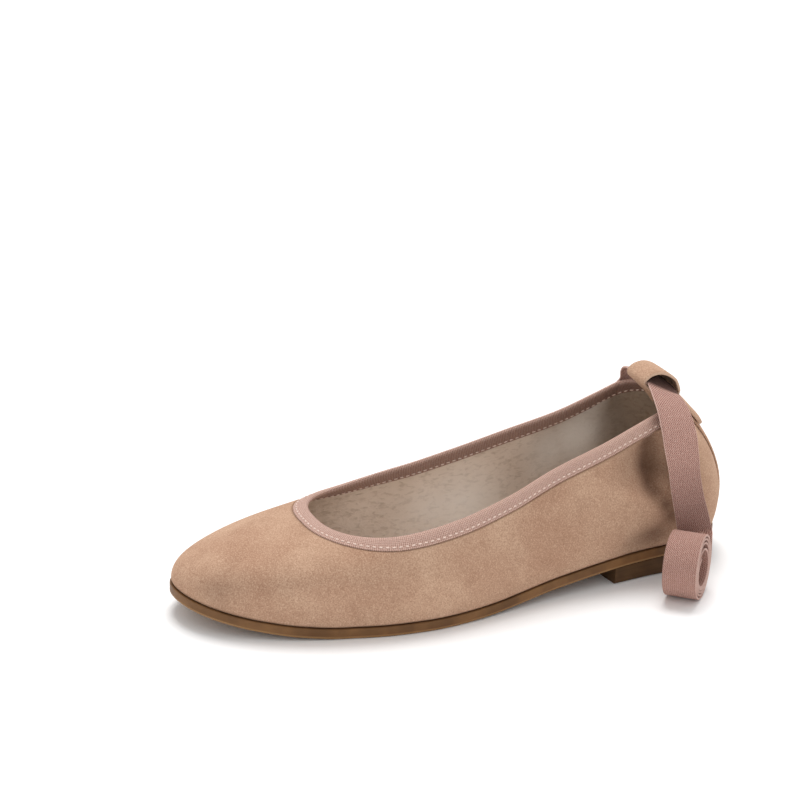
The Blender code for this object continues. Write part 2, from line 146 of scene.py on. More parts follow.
# share of the way round, lift, bulge in millimetres, pull, lean in degrees
WALL_TABLE = (
    (0.00, 0.40, 8.5, 0.40, 42.0),
    (0.23, 0.38, 6.0, 0.33, 66.0),
    (0.40, 0.38, 4.0, 0.32, 70.0),
    (0.50, 0.42, 3.5, 0.33, 68.0),
    (0.59, 0.50, 3.0, 0.35, 58.0),
    (0.6745, 0.56, 2.5, 0.42, 44.0),
    (0.755, 0.58, 2.0, 0.50, 28.0),
    (0.842, 0.58, 1.5, 0.54, 19.0),
    (1.00, 0.60, 1.0, 0.56, 15.0),
)
print("last", LENGTH * 1000, "mm long and", BALL_WIDTH * 1000, "mm wide at the ball")

# %% Read a table as a smooth curve
def read(table, column, at):
    """A smooth curve without overshoot through one column of a table."""
    table = np.array(table)
    x, y = table[:, 0], table[:, column]
    at = np.clip(np.asarray(at, float), x[0], x[-1])
    step, rise = np.diff(x), np.diff(y)
    slope = rise / step
    tangent = np.zeros_like(y)
    tangent[0], tangent[-1] = slope[0], slope[-1]
    for k in range(1, len(x) - 1):
        if slope[k - 1] * slope[k] > 0:
            a, b = 2 * step[k] + step[k - 1], step[k] + 2 * step[k - 1]
            tangent[k] = (a + b) / (a / slope[k - 1] + b / slope[k])
    k = np.clip(np.searchsorted(x, at, side="right") - 1, 0, len(x) - 2)
    u = (at - x[k]) / step[k]
    return (
        y[k] * (1 + 2 * u) * (1 - u) ** 2
        + tangent[k] * step[k] * u * (1 - u) ** 2
        + y[k + 1] * u * u * (3 - 2 * u)
        + tangent[k + 1] * step[k] * u * u * (u - 1)
    )


def rounding(t, start, heel, toe, end, heel_power, toe_power):
    """How far a half width is drawn in towards each end of a closed outline."""
    a = np.clip((t - toe) / (end - toe), 0, 1)
    b = np.clip((heel - t) / (heel - start), 0, 1)
    return (1 - a**toe_power) ** (1 / toe_power) * (1 - b**heel_power) ** (1 / heel_power)


# %% The foot line and the topline
def wrapped(p):
    """Stations run from 0 at the heel to 1 at the toe on the outer side, and to -1 on the inner side."""
    return (np.asarray(p, float) + 1) % 2 - 1


def foot_line(p):
    p = wrapped(p)
    t = 0.5 - 0.5 * np.cos(math.pi * np.abs(p))
    half = np.where(p >= 0, read(FOOT_TABLE, 1, t), read(FOOT_TABLE, 2, t)) * BALL_WIDTH
    half = half * rounding(t, *FOOT_ENDS)
    middle = -TOE_SWING * np.clip((t - 0.66) / 0.34, 0, 1) ** 1.7
    x = middle + np.where(p >= 0, half, -half)
    return np.stack([x, HEEL_BACK - t * LENGTH, read(RISE_TABLE, 1, t) * FOOT_RISE], -1)


def topline(p):
    p = wrapped(p)
    share = read(PARTNER_TABLE, 1, np.abs(p))
    start, end = OPENING_ENDS[0], OPENING_ENDS[3]
    t = start + (end - start) * (0.5 - 0.5 * np.cos(math.pi * share))
    half = read(OPENING_TABLE, 2, t) * BALL_WIDTH
    half = half * rounding(t, *OPENING_ENDS)
    x = read(OPENING_TABLE, 1, t) * BALL_WIDTH + np.where(p >= 0, half, -half)
    return np.stack([x, HEEL_BACK - t * LENGTH, read(OPENING_TABLE, 3, t) * BACK_HEIGHT], -1)


def unit(v):
    return v / np.maximum(np.linalg.norm(v, axis=-1, keepdims=True), 1e-12)


def run_along(points):
    """The distance along a chain of points, from the first point to each."""
    return np.concatenate([[0], np.cumsum(np.linalg.norm(np.diff(points, axis=0), axis=1))])


def outward(line, p):
    """The level direction that points away from a closed line, at each station."""
    along = line(np.asarray(p) + 2e-3) - line(np.asarray(p) - 2e-3)
    return unit(np.stack([-along[..., 1], along[..., 0], 0 * along[..., 0]], -1))


print("collar", round(float(topline(0.0)[2]) * 1000, 1), "mm over the floor at the back")

# %% The wall between them
WALL_POINTS = 97


def wall_curves(p):
    """Each station's wall as a chain of points from the foot line to the topline, with the distance from the top."""
    p = np.asarray(p, float)
    q = np.abs(wrapped(p))
    foot, top = foot_line(p), topline(p)
    rise = top[:, 2] - foot[:, 2]
    reach = np.linalg.norm(top - foot, axis=-1)
    lift, bulge, pull, lean = (read(WALL_TABLE, k, q) for k in (1, 2, 3, 4))
    lean = np.radians(lean)[:, None]
    up = np.array([0, 0, 1.0])
    low = foot + up * (lift * rise)[:, None] + outward(foot_line, p) * (bulge * MM)[:, None]
    high = top + (outward(topline, p) * np.cos(lean) - up * np.sin(lean)) * (pull * reach)[:, None]
    s = np.linspace(0, 1, WALL_POINTS)[None, :, None]
    chain = (
        foot[:, None] * (1 - s) ** 3
        + 3 * low[:, None] * s * (1 - s) ** 2
        + 3 * high[:, None] * s * s * (1 - s)
        + top[:, None] * s**3
    )
    steps = np.linalg.norm(np.diff(chain, axis=1), axis=-1)
    down = np.concatenate([np.cumsum(steps[:, ::-1], axis=1)[:, ::-1], np.zeros((len(p), 1))], 1)
    return chain, down


def on_chain(chain, down, depth):
    """Points at given depths below the topline. A depth under zero carries on past the edge."""
    found = np.empty(depth.shape + (3,))
    for i in range(len(chain)):
        for k in range(3):
            found[i, :, k] = np.interp(depth[i], down[i, ::-1], chain[i, ::-1, k])
        found[i] += unit(chain[i, -1] - chain[i, -5]) * np.maximum(-depth[i], 0)[:, None]
        found[i] += unit(chain[i, 0] - chain[i, 4]) * np.maximum(depth[i] - down[i, 0], 0)[:, None]
    return found


def wall_depth(p):
    return wall_curves(np.atleast_1d(p))[1][:, 0]


def surface(p, depth, out=0.0):
    """Points on the upper's outer face at depths below the topline, moved out along its normal."""
    p, depth = np.atleast_1d(p), np.atleast_2d(depth)
    depth = np.broadcast_to(depth, (len(p), depth.shape[1]))
    here = wall_curves(p)
    full = here[1][:, :1]
    point = on_chain(*here, depth)
    share = np.clip(depth / full, 0.01, 1)
    before, after = wall_curves(p - 4e-3), wall_curves(p + 4e-3)
    around = on_chain(*after, share * after[1][:, :1]) - on_chain(*before, share * before[1][:, :1])
    edge = np.clip(depth, 0.0006, full - 0.0006)
    rise = on_chain(*here, edge - 0.0005) - on_chain(*here, edge + 0.0005)
    normal = unit(np.cross(rise, around))
    return point + normal * np.broadcast_to(out, depth.shape)[..., None]


print("wall", round(float(wall_depth(0.0)[0]) * 1000, 1), "mm from collar to sole at the back")

# %% [markdown]
# ## Making a mesh
# Most pieces here are nets: one section after another, each closed in itself. Round the collar the sections form
# a ring, and elsewhere the net ends in two caps. One function turns such a net into a mesh with a UV map in
# centimetres, so that a weave can follow a ribbon wherever it goes.

# %% A net of points becomes a piece
UV_PER_METRE = 100


def net_faces(n, k, round_n, round_k):
    i, j = np.meshgrid(np.arange(n if round_n else n - 1), np.arange(k if round_k else k - 1), indexing="ij")
    i, j = i.ravel(), j.ravel()
    corners = ((i, j), (i + 1, j), (i + 1, j + 1), (i, j + 1))
    faces = np.stack([a % n * k + b % k for a, b in corners], -1)
    return faces, np.stack([np.stack([a, b], -1) for a, b in corners], 1)


def closed_mesh(name, points, faces, merge, uv=None, crease=None, **marks):
    """A closed mesh whose faces point outwards. Points within the merge distance become one, and where a crease
    angle is given, edges that bend more than it stay sharp."""
    mesh = bpy.data.meshes.new(name)
    mesh.from_pydata([tuple(p) for p in points.reshape(-1, 3)], [], [tuple(face) for face in faces])
    if uv is not None:
        mesh.uv_layers.new(name="UVMap").data.foreach_set("uv", uv.astype(np.float32).ravel())
    for label, values in marks.items():
        values = np.asarray(values, np.float32).ravel()
        mesh.attributes.new(label, "FLOAT", "POINT").data.foreach_set("value", values)
    shape = bmesh.new()
    shape.from_mesh(mesh)
    bmesh.ops.remove_doubles(shape, verts=shape.verts, dist=merge)
    if crease:
        bmesh.ops.delete(shape, geom=[v for v in shape.verts if not v.link_faces], context="VERTS")
        bmesh.ops.dissolve_degenerate(shape, dist=1e-7, edges=shape.edges)
    bmesh.ops.recalc_face_normals(shape, faces=shape.faces)
    if shape.calc_volume(signed=True) < 0:
        bmesh.ops.reverse_faces(shape, faces=shape.faces)
    for face in shape.faces:
        face.smooth = True
    for bend in shape.edges if crease else ():
        if len(bend.link_faces) == 2 and bend.calc_face_angle(0) > crease:
            bend.smooth = False
    shape.to_mesh(mesh)
    shape.free()
    return mesh


def piece(name, points, finish, slot, ring, u=None, v=None, **marks):
    """A mesh object from an (n, k, 3) net. u and v are in metres along its two ways, marks are named values."""
    n, k = points.shape[:2]
    faces, steps = net_faces(n, k, ring, True)
    u = np.arange(n + 1) * MM if u is None else u
    v = np.arange(k + 1) * MM if v is None else v
    u = np.repeat(u[:, None], k + 1, axis=1) if u.ndim == 1 else u
    uv = [np.stack([u[steps[..., 0], steps[..., 1]], v[steps[..., 1]]], -1).reshape(-1, 2)]
    faces = faces.tolist()
    for row in () if ring else (0, n - 1):
        faces.append(range(row * k, row * k + k))
        uv.append(np.stack([u[row, :k], v[:k]], -1))
    mesh = closed_mesh(name, points, faces, 1e-7, np.concatenate(uv) * UV_PER_METRE, **marks)
    return dress(name, mesh, finish)


def dress(name, mesh, finish):
    """The mesh as an object of the shoe, with its finish."""
    mesh.materials.clear()
    mesh.materials.append(finish)
    made = bpy.data.objects.new(name, mesh)
    bpy.context.scene.collection.objects.link(made)
    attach(made, "root")
    print(name, "has", len(mesh.polygons), "faces")
    return made


# %% [markdown]
# ## Materials
# Each finish is a small tree of nodes. Patterns read Object coordinates, which are metres on the shoe, so a
# noise of scale 1 / 0.002 has blots about 2 mm wide. Ribbons read their own UV map instead, in centimetres.

# %% Helpers for materials
def linear(code):
    """An sRGB hex colour as the linear colour the shader wants."""
    parts = [int(code[k : k + 2], 16) / 255 for k in (1, 3, 5)]
    return tuple(c / 12.92 if c <= 0.04045 else ((c + 0.055) / 1.055) ** 2.4 for c in parts) + (1.0,)


def add_node(tree, kind, settings=None, **links):
    """Adds one node. Settings are its properties. Links are values or sockets for its inputs, which are given by
    their names, or by their numbers as i0, i1 and so on."""
    node = tree.nodes.new(kind)
    for key, value in (settings or {}).items():
        setattr(node, key, value)
    for key, value in links.items():
        socket = node.inputs[int(key[1:]) if key[0] == "i" and key[1:].isdigit() else key.replace("_", " ")]
        if isinstance(value, bpy.types.NodeSocket):
            tree.links.new(value, socket)
        else:
            socket.default_value = value
    return node


def new_finish(name, **shader_values):
    made = bpy.data.materials.new(name)
    made.use_nodes = True
    shader = made.node_tree.nodes["Principled BSDF"]
    for key, value in shader_values.items():
        shader.inputs[key.replace("_", " ")].default_value = value
    return made, made.node_tree, shader


def layered(tree, base, *layers):
    """Lays colours over a base. Each layer has its colour and either the name of an attribute that says how much of
    it shows, or a pattern, the pattern's values where it starts and where it is full, and how much shows there."""
    colour = linear(base)
    for over, pattern, *reach in layers:
        if reach:
            amount = add_node(tree, "ShaderNodeMapRange", Value=pattern, From_Min=reach[0], From_Max=reach[1],
                              To_Max=reach[2]).outputs["Result"]
        else:
            amount = add_node(tree, "ShaderNodeAttribute", {"attribute_name": pattern}).outputs["Fac"]
        mix = add_node(tree, "ShaderNodeMix", {"data_type": "RGBA"}, i0=amount, i6=colour, i7=linear(over))
        colour = mix.outputs[2]
    return colour


def join_up(tree, shader, colour, *bumps):
    """Gives a shader its colour and its bumps, one on another. Each has its pattern, strength and height."""
    tree.links.new(colour, shader.inputs["Base Color"])
    under = {}
    for pattern, strength, height in bumps:
        bump = add_node(tree, "ShaderNodeBump", Strength=strength, Distance=height, Height=pattern, **under)
        under = {"Normal": bump.outputs["Normal"]}
    tree.links.new(under["Normal"], shader.inputs["Normal"])


# %% [markdown]
# ### Suede
# Suede is the flesh side of leather, buffed to a short nap. It has no gloss. The nap lies in soft blots that
# look lighter or darker as it was last brushed, and a fine speckle shows each tuft of fibre. The blots are two
# noises, about 22 mm and 7 mm wide. The tufts are about 0.3 mm, drawn at 0.55 mm so that they show. Troughs
# and the places under the binding and beside the ribbon carry an attribute that paints their shade into the
# colour, and it also darkens a few patches on the toe and the heel.

# %% Suede finish
def suede_finish(name, light, middle, dark, deep):
    made, tree, shader = new_finish(name, Roughness=0.95, Specular_IOR_Level=0.10, Sheen_Weight=0.16,
                                    Sheen_Roughness=0.55, Sheen_Tint=linear("#E3C0AA"), IOR=1.45)
    place = add_node(tree, "ShaderNodeTexCoord").outputs["Object"]
    # size in metres, detail, roughness and distortion
    noises = ((0.022, 3.0, 0.5, 0.3), (0.007, 3.0, 0.6, 0.0), (0.00055, 2.0, 0.6, 0.0), (0.0017, 2.0, 0.5, 0.0))
    blots, patches, tufts, specks = (
        add_node(tree, "ShaderNodeTexNoise", Vector=place, Scale=1 / size, Detail=detail, Roughness=rough,
                 Distortion=bend).outputs["Fac"]
        for size, detail, rough, bend in noises
    )
    colour = layered(
        tree,
        middle,
        (light, blots, 0.32, 0.68, 1.0),
        (dark, patches, 0.50, 0.74, 0.26),
        (dark, tufts, 0.50, 0.70, 0.55),
        (dark, specks, 0.56, 0.74, 0.16),
        ("#DDBEA4", tufts, 0.48, 0.30, 0.45),
        ("#D8BCA4", "rim"),
        # the deep colour is painted shade: in the troughs, at the turn-in at the sole, under the binding and inside
        # the tab's arch; it also darkens a few patches on the toe and the heel
        (deep, "hollow"),
    )
    join_up(tree, shader, colour, (patches, 0.30, 0.0006), (tufts, 0.50, 0.00022))
    return made


suede = suede_finish("rose_beige_suede", "#C09E85", "#AF8A72", "#8E6A54", "#4A2F1E")
print("made", suede.name)

# %% [markdown]
# ### Grosgrain and elastic
# Grosgrain is a ribbon with thick weft threads that lie across it as ribs, about 0.6 mm apart. The elastic is
# woven in a fine twill of much the same thread. Both are drawn by waves on the ribbon's own UV map, the ribs
# 0.74 mm and the twill 0.86 mm apart so that they show. The weave has a soft sheen along its ribs.

# %% Ribbon finishes
def woven_finish(name, light, dark, rib, twill, bright, deep):
    made, tree, shader = new_finish(name, Roughness=0.72, Specular_IOR_Level=0.35, Sheen_Weight=0.12,
                                    Sheen_Roughness=0.5, Sheen_Tint=linear("#E8CDBE"), IOR=1.5)
    uv = add_node(tree, "ShaderNodeUVMap", {"uv_map": "UVMap"}).outputs["UV"]
    parts = add_node(tree, "ShaderNodeSeparateXYZ", Vector=uv)
    along, across = parts.outputs["X"], parts.outputs["Y"]
    lean = add_node(tree, "ShaderNodeMath", {"operation": "MULTIPLY_ADD"}, i0=across, i1=twill, i2=along).outputs[0]
    waves = []
    for way, pitch in ((lean, rib), (across, rib * 0.95)):
        turn = 2 * math.pi / (pitch * UV_PER_METRE)
        phase = add_node(tree, "ShaderNodeMath", {"operation": "MULTIPLY"}, i0=way, i1=turn).outputs[0]
        waves.append(add_node(tree, "ShaderNodeMath", {"operation": "SINE"}, i0=phase).outputs[0])
    ribs, threads = waves
    weave = add_node(tree, "ShaderNodeMath", {"operation": "MULTIPLY_ADD"}, i0=threads, i1=0.60, i2=ribs).outputs[0]
    slub, fluff = (
        add_node(tree, "ShaderNodeTexNoise", Vector=uv, Scale=scale, Detail=detail).outputs["Fac"]
        for scale, detail in ((9.0, 3.0), (15.0, 4.0))
    )
    colour = layered(
        tree,
        dark,
        (light, weave, -1.3, 1.3, 1.0),
        (dark, slub, 0.35, 0.70, 0.22),
        (bright, fluff, 0.52, 0.70, 0.50),
        (bright, "rim"),
        # the deep colour is painted shade: on the binding's inner face and under the ribbon's shadow, and on the
        # ribbon's way down, in the tunnel and in the roll
        (deep, "hollow"),
    )
    join_up(tree, shader, colour, (weave, 0.7, 0.00022))
    return made


grosgrain = woven_finish("dusty_pink_grosgrain", "#E2BFB0", "#AE8474", 0.00074, 0.0, "#EAD0C2", "#5E3E30")
elastic = woven_finish("twill_elastic", "#DCAFA1", "#8E6053", 0.00086, 0.8, "#E6C4B7", "#4E2F26")
print("made", grosgrain.name, "and", elastic.name)

# %% [markdown]
# ### Pearl nappa
# The lining and the sock are thin nappa with a pearl film on top, which makes them partly metallic. Thin leather
# that is pulled over a last wrinkles finely. Stretched noise about 2 mm wide draws the wrinkles, slower noise the
# soft waves under them, and the film's gloss varies with the wrinkles. Shade deep in the heel cup is painted
# into the colour, and so are a few highlights on the far wall of the lining.

# %% Pearl lining finish
def pearl_finish(name, light, dark):
    made, tree, shader = new_finish(name, Metallic=0.35, Roughness=0.40, IOR=1.5)
    place = add_node(tree, "ShaderNodeTexCoord").outputs["Object"]
    stretched = add_node(tree, "ShaderNodeMapping", Vector=place, Scale=(1.0, 0.6, 1.3)).outputs["Vector"]
    # where it is read, size in metres, detail, roughness and distortion
    noises = ((stretched, 0.0021, 4.0, 0.6, 0.5), (stretched, 0.011, 2.0, 0.5, 0.0), (place, 0.030, 2.0, 0.5, 0.0))
    folds, waves, broad = (
        add_node(tree, "ShaderNodeTexNoise", Vector=way, Scale=1 / size, Detail=detail, Roughness=rough,
                 Distortion=bend).outputs["Fac"]
        for way, size, detail, rough, bend in noises
    )
    colour = layered(
        tree,
        dark,
        (light, broad, 0.35, 0.68, 1.0),
        ("#A08A74", folds, 0.50, 0.68, 0.42),
        # painted shade deep in the heel cup, and painted highlights on the far wall
        ("#6B5230", "hollow"),
        ("#FFFCF6", "shine"),
    )
    gloss = add_node(tree, "ShaderNodeMapRange", Value=folds, From_Min=0.3, From_Max=0.7, To_Min=0.38, To_Max=0.52)
    tree.links.new(gloss.outputs["Result"], shader.inputs["Roughness"])
    join_up(tree, shader, colour, (waves, 0.60, 0.0012), (folds, 0.75, 0.00060))
    return made


pearl = pearl_finish("pearl_nappa", "#EADCCF", "#DACABB")
print("made", pearl.name)

# %% [markdown]
# ### Sole leather
# The sole is cut from firm tanned leather. Its cut edge is sanded, stained and waxed, so it is satin and shows
# fine level fibres, drawn here as streaks 4 mm long and about half a millimetre high. The heel block is the same
# leather in layers 2.6 mm thick, with a dark line of glue between them.

# %% Sole and heel finishes
def edge_finish(name, light, dark, lip, layer):
    made, tree, shader = new_finish(name, Roughness=0.50, Specular_IOR_Level=0.25, IOR=1.5)
    place = add_node(tree, "ShaderNodeTexCoord").outputs["Object"]
    flat = add_node(tree, "ShaderNodeMapping", Vector=place, Scale=(1.0, 1.0, 9.0)).outputs["Vector"]
    fibres, stain = (
        add_node(tree, "ShaderNodeTexNoise", Vector=way, Scale=1 / size, Detail=detail, Roughness=rough).outputs["Fac"]
        for way, size, detail, rough in ((flat, 0.004, 5.0, 0.6), (place, 0.012, 3.0, 0.5))
    )
    layers = [(light, stain, 0.35, 0.65, 1.0), (dark, fibres, 0.55, 0.75, 0.5), (lip, "mark")]
    if layer:
        height = add_node(tree, "ShaderNodeSeparateXYZ", Vector=place).outputs["Z"]
        turns = add_node(tree, "ShaderNodeMath", {"operation": "MULTIPLY"}, i0=height, i1=1 / layer).outputs[0]
        within = add_node(tree, "ShaderNodeMath", {"operation": "FRACT"}, i0=turns).outputs[0]
        layers.append(("#2E2013", within, 0.08, 0.0, 0.6))
    join_up(tree, shader, layered(tree, dark, *layers), (fibres, 0.25, 0.00015))
    return made


sole_leather = edge_finish("stained_sole_leather", "#7F5A36", "#664628", "#96714A", 0)
heel_leather = edge_finish("stacked_heel_leather", "#5B4126", "#47301A", "#5B4126", 0.0026)
print("made", sole_leather.name, "and", heel_leather.name)

# %% [markdown]
# ## Soft creases
# A soft upper never keeps the last's clean skin. Each crease here is given one by one: a line from one point of
# the wall to another, with a width and a height. A point is given by its station round the foot and its depth
# under the collar. A height under zero is a trough. They all fade out at the collar, which stays crisp.

# %% Creases of the upper
# station and depth of one end, station and depth of the other end, width and height, all but stations in mm
CREASES = (
    (0.202, 6.0, 0.228, 17.0, 5.6, -2.9),
    (0.228, 17.0, 0.243, 24.0, 5.4, -2.6),
    (0.244, 27.0, 0.234, 41.0, 4.2, -2.2),
    (0.228, 9.0, 0.255, 20.0, 13.0, -1.9),
    (0.300, 7.0, 0.318, 13.0, 8.0, 0.5),
    (0.345, 17.0, 0.300, 26.0, 7.0, 1.6),
    (0.300, 26.0, 0.266, 36.0, 5.5, 1.7),
    (0.266, 45.5, 0.300, 44.0, 4.2, -1.4),
    (0.340, 13.0, 0.430, 10.0, 6.0, -0.6),
    (0.900, 44.0, 0.930, 30.0, 6.0, -0.5),
    (0.860, 30.0, 0.930, 22.0, 8.0, 0.4),
    (-0.206, 8.0, -0.240, 24.0, 9.0, -1.3),
    (-0.240, 24.0, -0.262, 36.0, 8.0, -0.8),
    (-0.310, 14.0, -0.340, 26.0, 8.0, 0.9),
    (0.600, 10.0, 0.660, 13.0, 6.0, -0.35),
)
# station, depth and size in mm, and strength of each place painted darker: shade in the troughs and folds near the
# ribbon and the loop, and a few darker patches on the toe, the vamp and the heel
SHADES = (
    (0.205, 8.0, 5.0, 0.46),
    (0.217, 13.0, 6.2, 0.56),
    (0.229, 18.5, 6.0, 0.64),
    (0.240, 23.5, 4.0, 0.55),
    (0.240, 29.0, 3.4, 0.48),
    (0.234, 36.0, 3.4, 0.52),
    (0.230, 42.0, 3.2, 0.52),
    (0.208, 21.0, 6.0, 0.30),
    (0.262, 13.0, 11.0, 0.32),
    (0.278, 45.0, 5.0, 0.38),
    (0.262, 46.5, 4.0, 0.36),
    (0.300, 45.5, 6.0, 0.20),
    (0.885, 52.0, 9.0, 0.20),
    (0.870, 44.0, 12.0, 0.08),
    (0.790, 34.0, 8.0, 0.07),
    (0.660, 22.0, 10.0, 0.06),
    (0.060, 30.0, 14.0, 0.10),
    (-0.230, 14.0, 6.0, 0.40),
)
MM_PER_STATION = 235  # about how far round the foot one whole station is


def relief(p, depth):
    """Height of all the creases in metres, and how much painted shade each point gets, from 0 to 1."""
    p, depth = np.broadcast_arrays(wrapped(p)[:, None], depth)
    total, hollow = np.zeros(depth.shape), np.zeros(depth.shape)
    for p0, d0, p1, d1, width, height in CREASES:
        x, y = wrapped(p - p0) * MM_PER_STATION, depth / MM - d0
        lx, ly = (p1 - p0) * MM_PER_STATION, d1 - d0
        share = np.clip((x * lx + y * ly) / (lx * lx + ly * ly), 0, 1)
        away = np.hypot(x - share * lx, y - share * ly)
        total += height * np.exp(-((away / width) ** 2))
    for p0, d0, size, strength in SHADES:
        away = np.hypot(wrapped(p - p0) * MM_PER_STATION, depth / MM - d0) / size
        hollow = 1 - (1 - hollow) * (1 - strength * np.exp(-(away**2)))
    fade = np.clip(depth / MM / 4.5 - 0.8, 0, 1)
    return total * MM * fade * fade * (3 - 2 * fade), hollow


print(len(CREASES), "creases and", len(SHADES), "darker places")

# %% [markdown]
# ## Upper
# The outside is one skin of suede and the inside one skin of lining. Each is a closed shell under a millimetre
# thick, so it looks right from any side. At the sole the suede turns in with a small round edge, as it does
# where it is drawn under the last, and the shadow under that edge parts it from the sole.

# %% Suede skin
STATIONS = 520
BAND = 0.0056  # rows less deep than this lie flat under the binding
around = np.arange(STATIONS) / STATIONS * 2
full = wall_depth(around)[:, None]
shares = np.concatenate([np.linspace(0, 0.04, 4), 0.04 + 0.96 * np.linspace(0, 1, 74)[1:]])
low = BAND + (full - BAND) * (1 - shares)
depth = np.hstack([low, np.broadcast_to([BAND - 0.0004, 0.0030, 0.0012], (STATIONS, 3))])
raised, hollow = relief(around, depth)
# painted shade where the suede turns in at the sole and where it goes under the binding
hollow[:, 0], hollow[:, 1], hollow[:, len(shares) - 1 :] = 0.75, 0.30, 0.38
out = np.concatenate([0 * shares, [-0.0004] * 3]) + raised
# the edge at the sole is rounded over its last 1.2 mm
out[:, : len(shares)] -= 0.00035 * np.clip(1 - (full - low) / 0.0012, 0, 1) ** 2
skin = surface(around, depth, out)
back = surface(around, depth[:, ::-1], out[:, ::-1] - 0.0008)
tuck = surface(around, full + 0.00005, -0.0006)
back[:, -1, 2] = skin[:, 0, 2]
suede_skin = piece("suede_upper", np.concatenate([skin, back, tuck], 1), suede, "suede", True,
                   hollow=np.concatenate([hollow, 0 * hollow, 0 * full], 1))
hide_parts("upper")

# %% Lining skin
# x, y, z and size in mm, and strength of each painted highlight on the pearl film
PAINTED_HIGHLIGHTS = (
    (-26.0, -27.0, 44.5, 14.0, 1.00),
    (-28.0, -38.0, 41.0, 12.0, 0.80),
    (-34.0, -77.0, 17.0, 18.0, 0.95),
    (-35.0, -90.0, 18.0, 14.0, 0.80),
    (-35.0, -100.0, 22.0, 8.0, 0.50),
)


def shine_at(points):
    """How much painted highlight the pearl film gets at each point, from 0 to 1."""
    total = np.zeros(points.shape[:-1])
    for x, y, z, size, strength in PAINTED_HIGHLIGHTS:
        away = np.linalg.norm(points - np.array([x, y, z]) * MM, axis=-1) / (size * MM)
        total = np.maximum(total, strength * np.exp(-(away**2)))
    return total


below = BAND + (full - BAND) * np.linspace(0, 1, 60)[1:]
depth = np.hstack([np.linspace(0.0012, 0.006, 4)[None] + 0 * full, below])
out = relief(around, depth)[0]
inner = surface(around, depth, out - WALL)
outer = surface(around, depth[:, ::-1], out[:, ::-1] - 0.0010)
# painted shade deep in the heel cup
near = np.clip((0.36 - np.abs(wrapped(around))[:, None]) / 0.24, 0, 1)
heel_cup_shade = 0.60 * near * near * (3 - 2 * near) * np.ones((1, 2 * depth.shape[1]))
skin = np.concatenate([inner, outer], 1)
lining = piece("pearl_lining", skin, pearl, "pearl_leather", True, hollow=heel_cup_shade, shine=shine_at(skin))

# %% [markdown]
# ## Binding
# A strip of grosgrain is folded over the raw edge and sewn through all layers. Its outer face is about 5 mm
# wide and its inner face 6 mm. The profile goes down the outside, over the fold and down the inside, and it
# swells a little between the fold and the stitches. The net closes round the collar.

# %% Folded ribbon round the collar
# depth and distance out in mm, for one turn round the band's section
BAND_SECTION = (
    (5.15, -0.42), (5.15, -0.05), (4.9, 0.10), (4.3, 0.14), (3.6, 0.10), (2.8, 0.22), (1.8, 0.34), (0.8, 0.34),
    (0.1, 0.16), (-0.5, -0.20), (-0.85, -0.65), (-0.95, -0.95), (-0.80, -1.35), (-0.4, -1.80), (0.2, -2.10),
    (1.0, -2.30), (2.2, -2.36), (3.6, -2.28), (4.4, -2.14), (5.2, -2.22), (5.8, -2.20), (5.95, -2.05),
    (5.95, -1.85), (4.0, -1.85), (0.6, -1.85), (-0.1, -1.6), (-0.2, -1.1), (-0.1, -0.6), (0.6, -0.42), (3.0, -0.42),
)
profile = np.array(BAND_SECTION) * MM
ring = surface(around, np.zeros((STATIONS, 1)))[:, 0]
along = run_along(np.vstack([ring, ring[:1]]))
across = run_along(np.vstack([profile, profile[:1]]))
band = surface(around, profile[:, 0], profile[:, 1])
# each point's own place along the collar keeps the ribs square to the band
way = unit(np.roll(ring, -1, axis=0) - np.roll(ring, 1, axis=0))
square = along[:-1, None] + np.sum((band - ring[:, None]) * way[:, None], axis=-1)
square = np.vstack([square, square[:1] + along[-1]])
square = np.hstack([square, square[:, :1]])
# painted shade: darker on the inner face, most of all at the back, and where the ribbon's shadow falls on the band
station = wrapped(around)[:, None]
shade = 0.48 * np.exp(-(((station - 0.178) / 0.020) ** 2)) * np.clip(profile[:, 1] / 0.0004, 0, 1)
inside = np.clip((-0.0016 - profile[:, 1]) / 0.0006, 0, 1) * (0.42 + 0.33 * np.exp(-((station / 0.22) ** 2)))
binding = piece("grosgrain_binding", band, grosgrain, "grosgrain", True, square, across, hollow=inside + shade)
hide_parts("topline_binding")
print("topline is", round(along[-1] * 1000), "mm long")

# %% [markdown]
# ## Stitches
# One thread holds the binding. It shows outside and inside as a row of short stitches, about 2.6 mm apart.
# Geometry Nodes fit this well: a path along the binding is cut into equal steps and one small stitch is put on
# each step, turned along the path and lifted off the ribbon. A seeded turn keeps the row from looking printed.

# %% A tree that sews
STITCH = {"Pitch": 0.0026, "Stitch Length": 0.0017, "Thread Radius": 0.00028, "Waver": 0.14}


